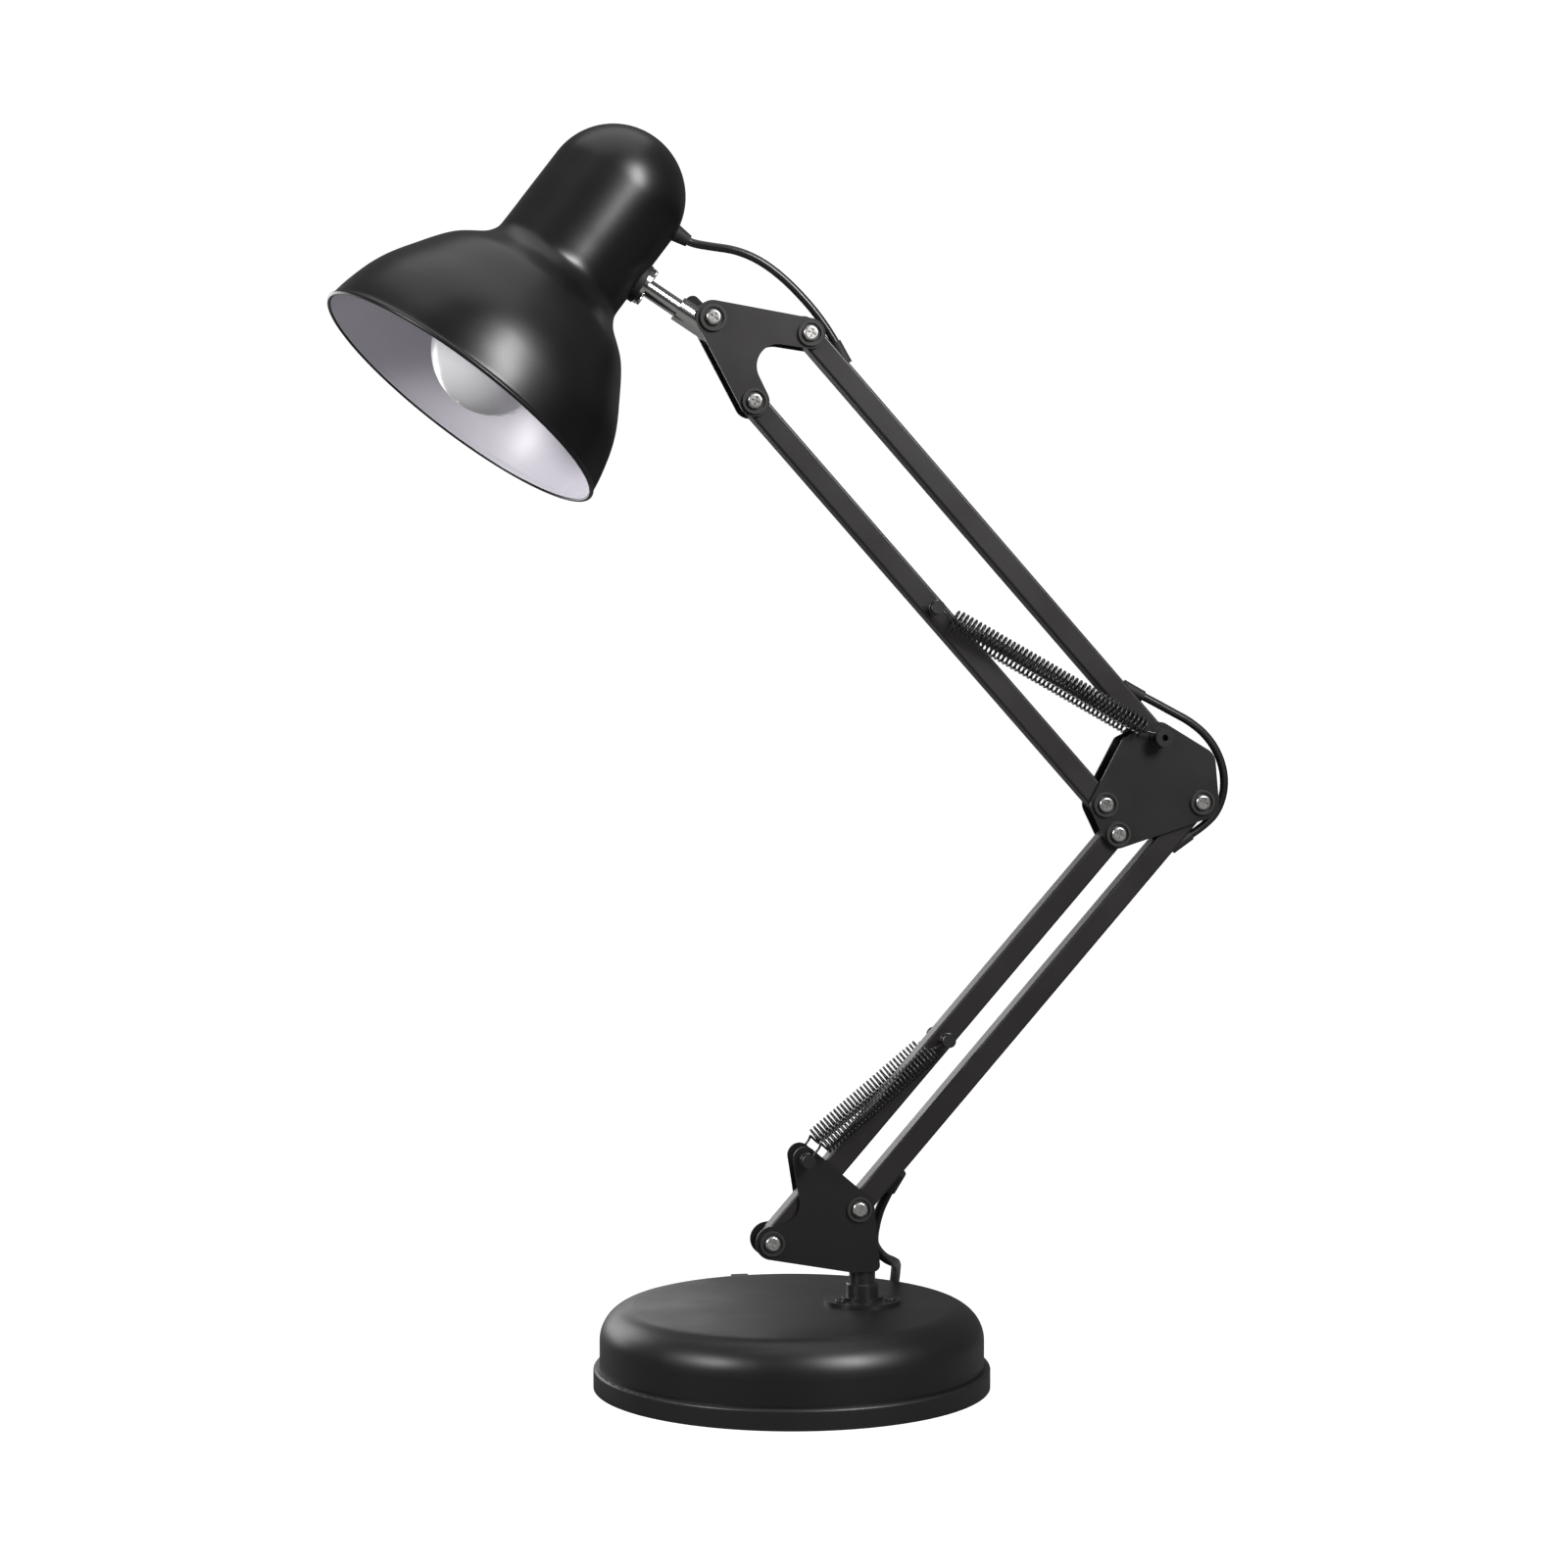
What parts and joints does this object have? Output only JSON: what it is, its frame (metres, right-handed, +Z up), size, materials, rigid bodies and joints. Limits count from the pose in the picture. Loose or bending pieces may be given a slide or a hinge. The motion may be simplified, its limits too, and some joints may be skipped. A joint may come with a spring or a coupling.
{
  "type": "architect desk lamp",
  "caption": "Spring-balanced swing-arm desk lamp on a round weighted base, with a bell shade that tilts and swivels.",
  "frame": {"origin": "centre of the round base's underside, on the desk", "axes": "+Z up; the arms move in the XZ plane, the shade towards -X and the elbow towards +X; the front of the lamp faces -Y"},
  "size_m": [0.4356, 0.3127, 0.5973],
  "materials": {
    "felt": "felt",
    "skirt_plastic": "moulded, fine texture",
    "black_paint": "satin stoved black",
    "cast_iron": "rough cast",
    "black_steel": "blackened steel",
    "cord_plastic": "semi-gloss flex sheath",
    "plug_plastic": "moulded",
    "nylon": "moulded nylon",
    "brass": "nickel-plated",
    "switch_red": "moulded",
    "zinc": "bright zinc plate",
    "arm_paint": "satin stoved charcoal black",
    "rubber": "soft matt",
    "spring_steel": "blackened spring wire",
    "chrome": "polished",
    "shade_paint": "gloss black outside, white inside",
    "holder_plastic": "moulded",
    "bulb": "frosted white",
    "bulb_metal": "drawn"
  },
  "bodies": {
    "base": {"base_pad": "felt", "base_skirt": "skirt_plastic", "base_cover": "black_paint", "base_weight": "cast_iron", "post_socket": "black_steel", "socket_screws": "black_steel", "mains_cord": "cord_plastic", "switch_body": "plug_plastic", "coil_lead": "cord_plastic", "mains_coil": "cord_plastic", "cord_tie": "nylon", "plug_lead": "cord_plastic", "plug_body": "plug_plastic", "plug_pins": "brass"},
    "switch_rocker": {"switch_rocker": "switch_red"},
    "lower_bracket": {"stem_post": "black_steel", "lower_plate_near": "black_paint", "lower_plate_far": "black_paint", "lower_bolts": "zinc", "lower_nuts": "black_steel", "lower_washers": "nylon", "lower_spring_studs": "black_steel", "base_lead": "cord_plastic"},
    "lower_rear_bar": {"lower_rear_bar": "arm_paint", "rear_bar_boots": "rubber"},
    "lower_front_bar": {"lower_front_bar": "arm_paint", "lower_spring_pin": "black_steel"},
    "lower_springs": {"lower_springs": "spring_steel"},
    "lower_spring_eyes": {"lower_spring_eyes": "spring_steel"},
    "elbow": {"elbow_plate_near": "black_paint", "elbow_plate_far": "black_paint", "elbow_bolts": "zinc", "elbow_nuts": "black_steel", "elbow_washers": "nylon", "elbow_spring_pin": "black_steel", "elbow_lead": "cord_plastic"},
    "upper_top_bar": {"upper_top_bar": "arm_paint", "top_bar_boots": "rubber"},
    "upper_front_bar": {"upper_front_bar": "arm_paint", "upper_spring_pin": "black_steel"},
    "upper_springs": {"upper_springs": "spring_steel"},
    "upper_spring_eyes": {"upper_spring_eyes": "spring_steel"},
    "head_bracket": {"head_plate_near": "arm_paint", "head_plate_far": "arm_paint", "head_bolts": "zinc", "head_nuts": "black_steel", "head_washers": "nylon", "tilt_bolt": "zinc", "head_lead": "cord_plastic"},
    "wing_nut": {"wing_nut": "nylon"},
    "rod_sleeve": {"rod_sleeve": "chrome"},
    "shade": {"head_rod": "chrome", "rod_rivets": "zinc", "shade_seat": "rubber", "shade_shell": "shade_paint", "lamp_holder": "holder_plastic", "holder_ring": "holder_plastic", "bulb_glass": "bulb", "bulb_cap": "bulb_metal", "shade_grommet": "rubber"}
  },
  "joints": [
    {"name": "base_swivel", "type": "hinge", "parent": "base", "child": "lower_bracket", "pos_m": [0.0345, 0, 0.048], "axis": [0, 0, 1], "range_deg": [-90, 90], "deforming": ["mains_cord"]},
    {"name": "lower_arm", "type": "hinge", "parent": "lower_bracket", "child": "lower_rear_bar", "pos_m": [0.03142, 0, 0.08462], "axis": [0, -1, 0], "range_deg": [-14, 25], "deforming": ["base_lead"]},
    {"name": "lower_front", "type": "hinge", "parent": "lower_bracket", "child": "lower_front_bar", "pos_m": [-0.011, 0, 0.0696], "axis": [0, -1, 0], "range_deg": [-14.1, 25.1]},
    {"name": "elbow_level", "type": "hinge", "parent": "lower_rear_bar", "child": "elbow", "pos_m": [0.20171, 0, 0.27777], "axis": [0, -1, 0], "range_deg": [-25.1, 14.1], "deforming": ["elbow_lead"]},
    {"name": "lower_spring_swing", "type": "hinge", "parent": "lower_bracket", "child": "lower_springs", "pos_m": [0.005, 0, 0.1095], "axis": [0, -1, 0], "range_deg": [-20.18, 35.99]},
    {"name": "lower_spring_stretch", "type": "slide", "parent": "lower_springs", "child": "lower_spring_eyes", "axis": [0.7748, 0, 0.6322], "range_m": [-0.00639, 0.00362], "deforming": ["lower_springs", "lower_spring_eyes"]},
    {"name": "upper_arm", "type": "hinge", "parent": "elbow", "child": "upper_top_bar", "pos_m": [0.17975, 0, 0.30942], "axis": [0, -1, 0], "range_deg": [-30, 28]},
    {"name": "upper_front", "type": "hinge", "parent": "elbow", "child": "upper_front_bar", "pos_m": [0.15293, 0, 0.27711], "axis": [0, -1, 0], "range_deg": [-30.1, 28.1]},
    {"name": "head_level", "type": "hinge", "parent": "upper_top_bar", "child": "head_bracket", "pos_m": [0.00745, 0, 0.50078], "axis": [0, -1, 0], "range_deg": [-28.1, 30.1], "deforming": ["head_lead"]},
    {"name": "upper_spring_swing", "type": "hinge", "parent": "elbow", "child": "upper_springs", "pos_m": [0.17975, 0, 0.30942], "axis": [0, -1, 0], "range_deg": [-28.44, 26.55]},
    {"name": "upper_spring_stretch", "type": "slide", "parent": "upper_springs", "child": "upper_spring_eyes", "axis": [-0.8737, 0, 0.4864], "range_m": [-0.02114, 0.01974], "deforming": ["upper_springs", "upper_spring_eyes"]},
    {"name": "head_tilt", "type": "hinge", "parent": "head_bracket", "child": "rod_sleeve", "pos_m": [-0.03909, 0, 0.50732], "axis": [0, -1, 0], "range_deg": [-45, 30]},
    {"name": "shade_swivel", "type": "hinge", "parent": "rod_sleeve", "child": "shade", "pos_m": [-0.04151, 0, 0.50353], "axis": [-0.8425, 0, 0.5388], "range_deg": [-75, 75]},
    {"name": "wing_nut_turn", "type": "hinge", "parent": "head_bracket", "child": "wing_nut", "pos_m": [-0.03909, 0.012, 0.50732], "axis": [0, -1, 0], "range_deg": [-180, 180]},
    {"name": "switch_rocker_tilt", "type": "hinge", "parent": "base", "child": "switch_rocker", "pos_m": [0.0656, 0.149, 0.0125], "axis": [-0.9925, -0.1219, 0], "range_deg": [-6, 6]}
  ],
  "couplings": [
    {"joint": "lower_front", "follows": "lower_arm", "ratio": 1},
    {"joint": "elbow_level", "follows": "lower_arm", "ratio": -1},
    {"joint": "lower_spring_swing", "follows": "lower_arm", "ratio": 1.4378},
    {"joint": "lower_spring_stretch", "follows": "lower_arm", "m_per_rad": -0.01442},
    {"joint": "upper_front", "follows": "upper_arm", "ratio": 1},
    {"joint": "head_level", "follows": "upper_arm", "ratio": -1},
    {"joint": "upper_spring_swing", "follows": "upper_arm", "ratio": 0.9464},
    {"joint": "upper_spring_stretch", "follows": "upper_arm", "m_per_rad": 0.040185}
  ]
}
